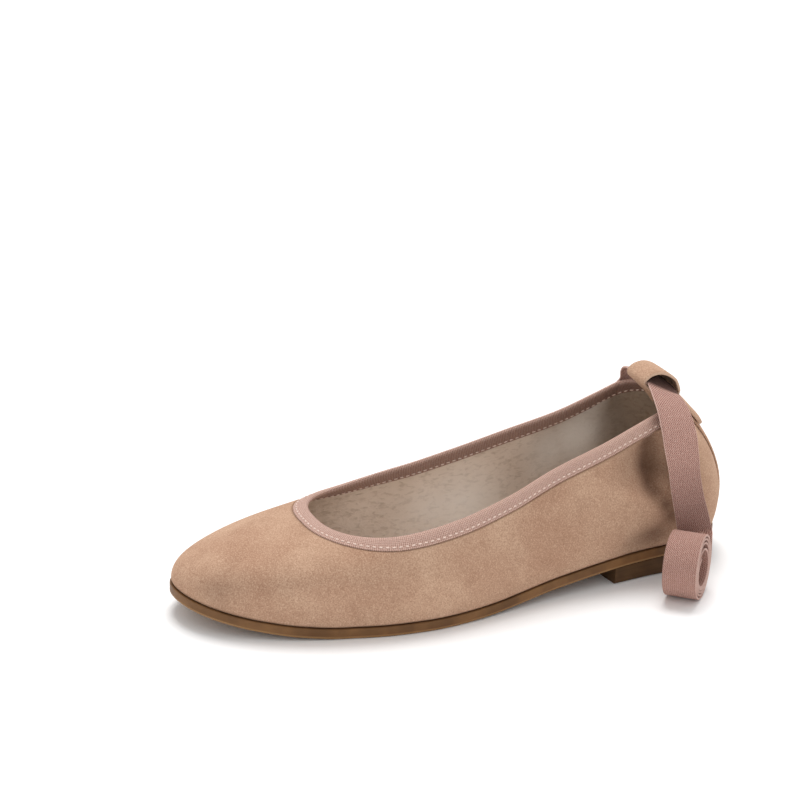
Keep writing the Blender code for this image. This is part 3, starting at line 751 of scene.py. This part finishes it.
def stitch_tree(finish):
    tree = bpy.data.node_groups.new("stitch_row", "GeometryNodeTree")
    tree.interface.new_socket("Geometry", in_out="INPUT", socket_type="NodeSocketGeometry")
    for label, value in STITCH.items():
        tree.interface.new_socket(label, in_out="INPUT", socket_type="NodeSocketFloat").default_value = value
    tree.interface.new_socket("Geometry", in_out="OUTPUT", socket_type="NodeSocketGeometry")
    given = tree.nodes.new("NodeGroupInput").outputs
    path = add_node(tree, "GeometryNodeMeshToCurve", Mesh=given["Geometry"]).outputs["Curve"]
    even = add_node(tree, "GeometryNodeResampleCurve", {"mode": "LENGTH"}, Curve=path, Length=given["Pitch"])
    way = add_node(tree, "GeometryNodeInputTangent").outputs["Tangent"]
    up = add_node(tree, "GeometryNodeInputNamedAttribute", {"data_type": "FLOAT_VECTOR"}, Name="up")
    first = add_node(tree, "FunctionNodeAlignRotationToVector", {"axis": "X"}, Vector=way).outputs["Rotation"]
    second = add_node(tree, "FunctionNodeAlignRotationToVector", {"axis": "Z", "pivot_axis": "X"}, Rotation=first,
                      Vector=up.outputs["Attribute"]).outputs["Rotation"]
    flip = add_node(tree, "ShaderNodeMath", {"operation": "MULTIPLY"}, i0=given["Waver"], i1=-1.0).outputs[0]
    swing = add_node(tree, "FunctionNodeRandomValue", {"data_type": "FLOAT"}, i2=flip, i3=given["Waver"], Seed=3)
    spin = add_node(tree, "ShaderNodeCombineXYZ", Z=swing.outputs[1]).outputs["Vector"]
    turned = add_node(tree, "FunctionNodeRotateRotation", {"rotation_space": "LOCAL"}, Rotation=second, Rotate_By=spin)
    ball = add_node(tree, "GeometryNodeMeshUVSphere", Segments=8, Rings=6, Radius=1.0).outputs["Mesh"]
    half = add_node(tree, "ShaderNodeMath", {"operation": "MULTIPLY"}, i0=given["Stitch Length"], i1=0.5).outputs[0]
    size = add_node(tree, "ShaderNodeCombineXYZ", X=half, Y=given["Thread Radius"], Z=given["Thread Radius"])
    stitch = add_node(tree, "GeometryNodeTransform", Geometry=ball, Scale=size.outputs["Vector"]).outputs["Geometry"]
    row = add_node(tree, "GeometryNodeInstanceOnPoints", Points=even.outputs["Curve"], Instance=stitch,
                   Rotation=turned.outputs["Rotation"]).outputs["Instances"]
    real = add_node(tree, "GeometryNodeRealizeInstances", Geometry=row).outputs["Geometry"]
    done = add_node(tree, "GeometryNodeSetMaterial", Geometry=real, Material=finish).outputs["Geometry"]
    tree.links.new(done, tree.nodes.new("NodeGroupOutput").inputs["Geometry"])
    return tree


def sew(name, points, ups, tree, finish):
    """A closed row of stitches along points. Ups are the directions that the tops of the stitches face."""
    n = len(points)
    mesh = bpy.data.meshes.new(name + "_path")
    mesh.from_pydata([tuple(p) for p in points], [(k, (k + 1) % n) for k in range(n)], [])
    mesh.attributes.new("up", "FLOAT_VECTOR", "POINT").data.foreach_set("vector", ups.astype(np.float32).ravel())
    path = bpy.data.objects.new(name + "_path", mesh)
    bpy.context.scene.collection.objects.link(path)
    sewing = path.modifiers.new("stitches", "NODES")
    sewing.node_group = tree
    for item in tree.interface.items_tree:
        if item.in_out == "INPUT" and item.name in STITCH:
            sewing[item.identifier] = STITCH[item.name]
    ready = path.evaluated_get(bpy.context.evaluated_depsgraph_get())
    sewn = bpy.data.meshes.new_from_object(ready)
    path.modifiers.clear()
    bpy.data.objects.remove(path, do_unlink=True)
    sewn.shade_smooth()
    return dress(name, sewn, finish)


# %% Thread and the two rows
thread = new_finish("pale_pink_thread", Base_Color=linear("#E6CDBF"), Roughness=0.55, Sheen_Weight=0.2, IOR=1.5)[0]
sewing = stitch_tree(thread)
for name, down, lift in (("stitches_outside", 0.0037, 0.00020), ("stitches_inside", 0.0048, -0.00232)):
    spots, above = (
        surface(around, np.full((STATIONS, 1), down), out)[:, 0] for out in (lift, lift + math.copysign(0.001, lift))
    )
    sew(name, spots, unit(above - spots), sewing, thread)

# %% [markdown]
# ## Sole and heel
# The sole is one slab that follows the foot line, with the toe spring and the arch in its height. It stands out
# a little past the upper. Levels from top to bottom give its rounded edge, and rows across it fill the two faces.

# %% Rows across the foot
ACROSS = 12


def rows_between(q, one, two, height, columns):
    """Rows at a height from the outer edge to the inner edge. At the ends of the foot they shrink to a point."""
    one[:, 2] = two[:, 2] = height
    ends = (q < 1e-6) | (q > 1 - 1e-6)
    one[ends] = two[ends] = ((one + two) / 2)[ends]
    share = np.linspace(0, 1, columns + 1)[None, :, None]
    return one[:, None] * (1 - share) + two[:, None] * share


def foot_rows(q, outside, height):
    """Rows across the foot line's outline, moved out by a distance."""
    one, two = (foot_line(side) + outward(foot_line, side) * outside for side in (q, -q))
    return rows_between(q, one, two, height, ACROSS)


def slab(name, levels, finish, marks=0.0):
    """A solid through level outlines, each given as rows of points across it. Marks hold a value for each level."""
    rows, width = levels[0].shape[:2]
    size = rows * width
    inner = net_faces(rows, width, False, False)[0]
    faces = inner.tolist() + (inner[:, ::-1] + (len(levels) - 1) * size).tolist()
    rim = [(r, 0) for r in range(rows)] + [(rows - 1, c) for c in range(1, width)]
    rim += [(r, width - 1) for r in range(rows - 2, -1, -1)] + [(0, c) for c in range(width - 2, 0, -1)]
    rim = np.array([r * width + c for r, c in rim])
    for level in range(len(levels) - 1):
        a, b = level * size + rim, level * size + np.roll(rim, -1)
        faces += np.stack([a, b, b + size, a + size], -1).tolist()
    mark = np.repeat(np.broadcast_to(marks, len(levels)), size)
    mesh = closed_mesh(name, np.stack(levels), faces, 1e-6, crease=math.radians(38), mark=mark)
    return dress(name, mesh, finish)


# %% Sole
q = np.linspace(0, 1, 181)
seat = foot_line(q)[:, 2] - GAP
# distance out, distance down, and how much of the pale lower lip shows
SOLE_LEVELS = (
    (-0.0010, 0.0, 0.0),
    (0.0003, 0.0, 0.0),
    (0.00055, 0.0002, 0.0),
    (0.00062, 0.0006, 0.0),
    (0.00058, 0.0030, 0.0),
    (0.00066, 0.0033, 0.8),
    (0.00064, 0.0037, 1.0),
    (0.00030, 0.0041, 0.7),
    (-0.0004, SOLE, 0.3),
)
sole = slab("leather_sole", [foot_rows(q, out, seat - down) for out, down, lip in SOLE_LEVELS], sole_leather,
            [lip for out, down, lip in SOLE_LEVELS])
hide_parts("outsole")

# %% Heel block
last_q = math.acos(1 - 2 * (HEEL_BACK + BREAST) / LENGTH) / math.pi
q = last_q * np.linspace(0, 1, 61)


def heel_rows(outside, share):
    """One level of the heel, at a share of its height. Its breast is cut a little askew."""
    grid = foot_rows(q, outside, 0 * q)
    grid[-1, :, 1] -= BREAST_SKEW * np.linspace(0, 1, grid.shape[1])
    rise = read(RISE_TABLE, 1, (HEEL_BACK - grid[..., 1]) / LENGTH) * FOOT_RISE
    grid[..., 2] = (rise - GAP - SOLE - 0.00005) * share
    return grid


heel_levels = ((-0.0002, 1.0), (0.0, 0.97), (-0.0001, 0.30), (-0.0002, 0.06), (-0.0009, 0.0))
heel = slab("stacked_heel", [heel_rows(*level) for level in heel_levels], heel_leather)
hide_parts("heel")

# %% [markdown]
# ## Sock
# The sock is the leather that the foot stands on. It reaches the lining all round with a soft edge, so no gap
# shows, and it dips a little in the middle of the heel and under the ball.

# %% Sock leather
q = np.linspace(0, 1, 181)


def sock_rows(up, inset, dish):
    """One level of the sock, from its height over the foot line, its distance from the lining and its dip."""
    one, two = (
        surface(side, np.clip(wall_depth(side) - up, 0, None)[:, None], -WALL - inset)[:, 0] for side in (q, -q)
    )
    grid = rows_between(q, one, two, foot_line(q)[:, 2] + up, 2 * ACROSS)
    grid[..., 2] -= dish * (1 - (2 * np.linspace(0, 1, grid.shape[1]) - 1) ** 4)
    return grid


sock_levels = ((0.0004, 0.0004, 0.0), (0.0022, 0.0001, 0.0), (0.0030, -0.0002, 0.0), (0.0031, 0.0008, 0.0021))
sock = slab("pearl_sock", [sock_rows(*level) for level in sock_levels], pearl)
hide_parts("insole")

# %% [markdown]
# ## Backstay and loop
# A strip of suede covers the back seam. Over it a suede tab comes up from the heel, arches over the ribbon as a
# tunnel, and goes down inside the collar. Both are soft leather about a millimetre thick with rounded edges, so
# their nets run across the strip and round its edges.

# %% Strips on the back of the heel
def at_side(x, depth):
    """The station near the heel whose wall is at a sideways position, for each depth."""
    low, high = np.full(len(depth), -0.3), np.full(len(depth), 0.3)
    for _ in range(20):
        middle = (low + high) / 2
        found = surface(middle, depth[:, None])[:, 0, 0]
        low, high = np.where(found < x, middle, low), np.where(found < x, high, middle)
    return middle


def back_points(sides, depth, out):
    """Points on the heel's back for sideways positions and depths. out has a value for each side."""
    stations = np.stack([at_side(x, depth) for x in sides], 1)
    deep = np.broadcast_to(depth[:, None], stations.shape)
    lifted = np.broadcast_to(out, stations.shape)
    found = surface(stations.reshape(-1), deep.reshape(-1, 1), lifted.reshape(-1, 1))
    return found[:, 0].reshape(stations.shape + (3,))


def strip_section(width, thick, crown):
    """Sideways place and lift for one turn round a strip's section, with rounded edges."""
    side = np.linspace(-1, 1, 15)
    front = np.stack([side * (width / 2 - thick * 0.35), thick + crown * (1 - side**2)], -1)
    right = [(width / 2, thick * 0.62), (width / 2, thick * 0.2)]
    backs = np.stack([side[::-2] * (width / 2 - thick * 0.3), 0 * side[::-2]], -1)
    left = [(-width / 2, thick * 0.2), (-width / 2, thick * 0.62)]
    return np.concatenate([front, right, backs, left])


STRIP_WIDTH, STRIP = 0.0170, 0.0008
section = strip_section(STRIP_WIDTH, STRIP, 0.0003)
deep = np.linspace(wall_depth(0.0)[0] - 0.0012, 0.0052, 46)
stay = back_points(section[:, 0], deep, 0.0001 + section[:, 1])
backstay = piece("suede_backstay", stay, suede, "suede", False)
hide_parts("backstay")

# %% The tab that arches over the ribbon
# back and up from the collar's back, in millimetres
LOOP_TABLE = (
    (5.4, 1.0),
    (4.05, 3.6),
    (2.0, 6.3),
    (-0.7, 8.6),
    (-4.2, 10.2),
    (-7.4, 10.5),
    (-10.7, 9.7),
    (-13.1, 7.7),
    (-13.2, 5.7),
    (-11.4, 3.7),
    (-8.1, 1.0),
    (-4.6, -1.9),
    (-1.5, -4.9),
    (1.1, -7.8),
)


def smooth(points, count):
    """A soft curve through points, by equal steps along it."""
    points = np.asarray(points, float)
    ends = np.concatenate([[2 * points[0] - points[1]], points, [2 * points[-1] - points[-2]]])
    dense = []
    for k in range(1, len(ends) - 2):
        a, b, c, d = ends[k - 1 : k + 3]
        u = np.linspace(0, 1, 24, endpoint=False)[:, None]
        dense.append(0.5 * (2 * b + (c - a) * u + (2 * a - 5 * b + 4 * c - d) * u**2 + (3 * b - a - 3 * c + d) * u**3))
    dense = np.concatenate(dense + [ends[-2:-1]])
    run = run_along(dense[:, :3])
    at = np.linspace(0, run[-1], count)
    return np.stack([np.interp(at, run, dense[:, k]) for k in range(dense.shape[1])], -1)


TAB_WIDTH, TAB = 0.0170, 0.0013
section = strip_section(TAB_WIDTH, TAB, 0.0001)
side, lift = section[None, :, 0], section[None, :, 1]
tab_depth = np.linspace(0.0208, 0.0036, 24)
fold = 1 + 0.15 * np.clip((tab_depth - 0.0165) / 0.0030, 0, 1)
lying = back_points(section[:, 0], tab_depth, 0.0014 + lift * fold[:, None])
start = topline(0.0)
path = smooth(np.array(LOOP_TABLE) * MM + start[1:], 90)
way = unit(np.gradient(path, axis=0))
inwards = np.stack([way[:, 1], -way[:, 0]], -1)
step = np.arange(len(path))
sag = np.interp(step, [0, 12, len(path) - 34, len(path) - 1], [0.0014, 0, 0, 0.0028])[:, None]
taper = np.interp(step, [0, 44, 58, len(path) - 1], [1.0, 1.0, 0.80, 0.74])[:, None]
spot = path[:, None] - inwards[:, None] * (TAB - lift)[..., None]
arch = np.empty((len(path), len(section), 3))
arch[..., 0] = side * taper * (1 - 0.16 * (side < 0))
arch[..., 1] = spot[..., 0] - sag * (side / (TAB_WIDTH / 2)) ** 2
arch[..., 2] = spot[..., 1]
cut = (section[:, 1] > 0.0001) & (section[:, 1] < TAB - 0.0001)
rows = len(lying) + len(arch)
# painted shade on the inner face of the arch, the side that faces the ribbon
under = np.clip((np.arange(rows) - len(lying) - 4) / 8, 0, 1)[:, None] * (lift < 0.0001) * 0.85
tab = piece("suede_loop", np.concatenate([lying, arch]), suede, "suede", False, hollow=under,
            rim=np.broadcast_to(0.5 * cut, (rows, len(cut))))
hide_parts("heel_loop")

# %% [markdown]
# ## Elastic ribbon
# The ribbon is one strip: through the tunnel, down both sides of the heel, and round itself in a roll on each
# side. A table gives the run's middle and its direction across. The roll is a spiral whose turns lie close
# outside and loosen inside, where they sink a little under their own weight.

# %% Ribbon path
# the middle of the ribbon in mm and its direction across, from the loop outwards
IN_TUNNEL = ((0.0, -5.5, 75.6, 0.0, 0.92, -0.39), (4.5, -5.5, 75.6, 0.0, 0.92, -0.39))
TO_ROLL = ((36.4, -4.9, 28.5, 0.20, 0.94, 0.0), (38.7, -4.0, 21.5, 0.45, 0.88, 0.0))
OUTER_RUN = (
    *IN_TUNNEL,
    (8.6, -6.1, 75.2, 0.0, 0.92, -0.39),
    (11.0, -6.9, 74.7, 0.01, 0.92, -0.38),
    (13.6, -7.1, 73.8, 0.01, 0.93, -0.36),
    (17.0, -7.2, 72.0, 0.02, 0.94, -0.30),
    (20.6, -7.0, 69.0, 0.03, 0.95, -0.24),
    (23.8, -6.9, 65.3, 0.03, 0.95, -0.18),
    (26.6, -6.7, 60.5, 0.03, 0.95, -0.12),
    (28.9, -6.8, 55.0, 0.03, 0.95, -0.08),
    (30.8, -6.7, 49.0, 0.03, 0.95, -0.05),
    (32.3, -6.6, 42.6, 0.03, 0.95, -0.02),
    (34.1, -5.95, 35.5, 0.06, 0.95, 0.0),
    *TO_ROLL,
)
INNER_RUN = (
    *IN_TUNNEL,
    (8.8, -5.6, 75.2, 0.0, 0.93, -0.37),
    (11.8, -5.1, 75.3, 0.0, 0.96, -0.28),
    (14.8, -4.5, 74.9, 0.0, 0.98, -0.18),
    (17.2, -3.9, 73.9, 0.0, 1.0, -0.06),
    (18.9, -3.2, 72.3, 0.0, 1.0, 0.0),
    (20.1, -2.7, 70.3, 0.0, 1.0, 0.0),
    (21.5, -2.6, 68.2, 0.0, 1.0, 0.0),
    (23.4, -3.2, 65.7, 0.02, 1.0, 0.0),
    (25.7, -4.2, 61.2, 0.03, 1.0, 0.0),
    (28.0, -4.6, 55.8, 0.03, 0.98, 0.0),
    (30.2, -5.2, 49.2, 0.03, 0.98, 0.0),
    (32.3, -5.6, 42.6, 0.03, 0.95, 0.0),
    (34.1, -5.4, 35.5, 0.06, 0.95, 0.0),
    *TO_ROLL,
)
# turns from the outside, radius in millimetres, sinking in millimetres
ROLL_TABLE = (
    (0.0, 13.70, 0.0),
    (1.0, 12.30, 0.0),
    (2.0, 10.90, 0.05),
    (3.0, 9.45, 0.35),
    (3.7, 8.15, 0.9),
    (4.3, 7.20, 1.5),
    (4.7, 6.90, 1.9),
)
ROLL_X, ROLL_Y, ROLL_TURN, ROLL_STEPS = 0.0490, -0.01355, 46.0, 64
RIBBON_WIDTH, RIBBON = 0.0142, 0.00095


def ribbon_side(side):
    """Middle, direction across and direction of the face for one half of the ribbon, run and roll."""
    run = smooth(np.array(OUTER_RUN if side > 0 else INNER_RUN) * ([MM] * 3 + [1] * 3), 96)
    middle, wide = run[:, :3], run[:, 3:]
    spin = math.radians(ROLL_TURN)
    axis = np.array([math.cos(spin), math.sin(spin), 0])
    away = np.array([math.sin(spin), -math.cos(spin), 0])
    up = np.array([0, 0, 1.0])
    turns = np.arange(0, int(ROLL_TABLE[-1][0] * ROLL_STEPS) + 1) / ROLL_STEPS
    radius, sink = read(ROLL_TABLE, 1, turns) * MM, read(ROLL_TABLE, 2, turns) * MM
    height = ROLL_TABLE[0][1] * MM + RIBBON / 2 - 0.0003
    angle = turns[:, None] * 2 * math.pi
    spoke = -away * np.cos(angle) - up * np.sin(angle)
    centre = np.array([ROLL_X, ROLL_Y, height]) - up * sink[:, None]
    middle = np.concatenate([middle, centre + spoke * radius[:, None]])
    wide = np.concatenate([wide, np.broadcast_to(axis, spoke.shape)])
    middle = middle + wide * (0.00025 * np.sin(np.arange(len(middle)) * 0.11))[:, None]
    way = unit(np.gradient(middle, axis=0))
    wide = unit(wide - way * np.sum(wide * way, axis=1, keepdims=True))
    return middle * (side, 1, 1), wide * (side, 1, 1), np.cross(wide, way) * (side, 1, 1)


# %% Ribbon mesh
ROUND, CORNER = 0.00035, 0.0001
ABOVE, BESIDE = 0.072, 0.0385  # over this height is the tunnel, and past this distance out is the roll
one, two = ribbon_side(1), ribbon_side(-1)
middle, wide, face = (np.concatenate([b[:0:-1], a]) for a, b in zip(one, two))
half, thick = RIBBON_WIDTH / 2, RIBBON / 2
half_turn = [(s * (half - ROUND), -thick) for s in np.linspace(-1, 1, 13)]
half_turn += [(half - CORNER, -thick * 0.6), (half, 0.0), (half - CORNER, thick * 0.6)]
section = half_turn + [(-a, -b) for a, b in half_turn]
x, y, z = np.split(middle, 3, axis=1)
cup = 0.0021 * np.exp(-((x / 0.0050) ** 2)) * (z > ABOVE)
swell = 1 + 0.11 * (x > 0) * np.clip((z - 0.046) / 0.012, 0, 1) * np.clip((x - 0.0085) / 0.006, 0, 1)
net = np.stack([middle + wide * a * swell + face * (b - cup * (1 - (a / half) ** 2)) for a, b in section], 1)
rim = np.broadcast_to([0.6 * (abs(a) > half - 0.0003) for a, b in section], net.shape[:2])
# painted shade: the ribbon is darker on its way down, in the tunnel and a little in the roll
way_down = 0.50 * np.clip((0.052 - z) / 0.022, 0, 1) * (np.abs(x) < BESIDE) * (y > -0.0085)
tunnel = 0.95 * np.clip((0.0108 + 0.0010 * np.sign(x) - np.abs(x)) / 0.0018, 0, 1) * (z > ABOVE)
ribbon_shade = np.maximum(0.10 * (np.abs(x) > BESIDE), np.maximum(way_down, tunnel)) + 0 * rim
length = run_along(middle)
side_way = np.array([a for a, b in section] + [section[0][0]])
ribbon = piece("ankle_ribbon", net, elastic, "elastic_ribbon", False, length, side_way, rim=rim, hollow=ribbon_shade)
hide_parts("ankle_elastic")
print("ribbon is", round(length[-1] * 1000), "mm long")

# %% [markdown]
# ## Studio
# A white floor, a white room and one large soft lamp nearly overhead. A sun lamp with a wide angle gives the
# same soft light all over the floor, so the paper stays evenly white. It makes the top of the toe bright and the
# side wall a tone darker, and leaves a soft shadow close under the sole.

# %% Floor, world and lamp
FLOOR_CORNERS = ((-6, -6), (6, -6), (6, 6), (-6, 6))
LIGHT_FROM = (-0.35, 0.15, 1.0)
paper = new_finish("studio_paper", Base_Color=(0.98, 0.98, 0.98, 1), Roughness=0.9, Specular_IOR_Level=0.1)[0]
floor_mesh = bpy.data.meshes.new("studio_floor")
floor_mesh.from_pydata([(*corner, -0.00005) for corner in FLOOR_CORNERS], [], [(0, 1, 2, 3)])
floor_mesh.materials.append(paper)
floor = bpy.data.objects.new("studio_floor", floor_mesh)
bpy.context.scene.collection.objects.link(floor)
world = bpy.data.worlds.new("studio_world")
world.use_nodes = True
room = world.node_tree.nodes["Background"].inputs
room["Color"].default_value, room["Strength"].default_value = (1.0, 1.0, 1.0, 1), 0.78
bpy.context.scene.world = world
lamp_data = bpy.data.lights.new("overhead_softbox", "SUN")
lamp_data.energy, lamp_data.angle = 1.95, math.radians(32)
lamp = bpy.data.objects.new("overhead_softbox", lamp_data)
bpy.context.scene.collection.objects.link(lamp)
back = unit(np.array(LIGHT_FROM))
right = unit(np.cross([0.0, 1.0, 0.0], back))
lamp.matrix_world = facing((0, 0, 1), right, np.cross(back, right), back)
bpy.context.scene.view_settings.view_transform = "Standard"
print("lamp ready")
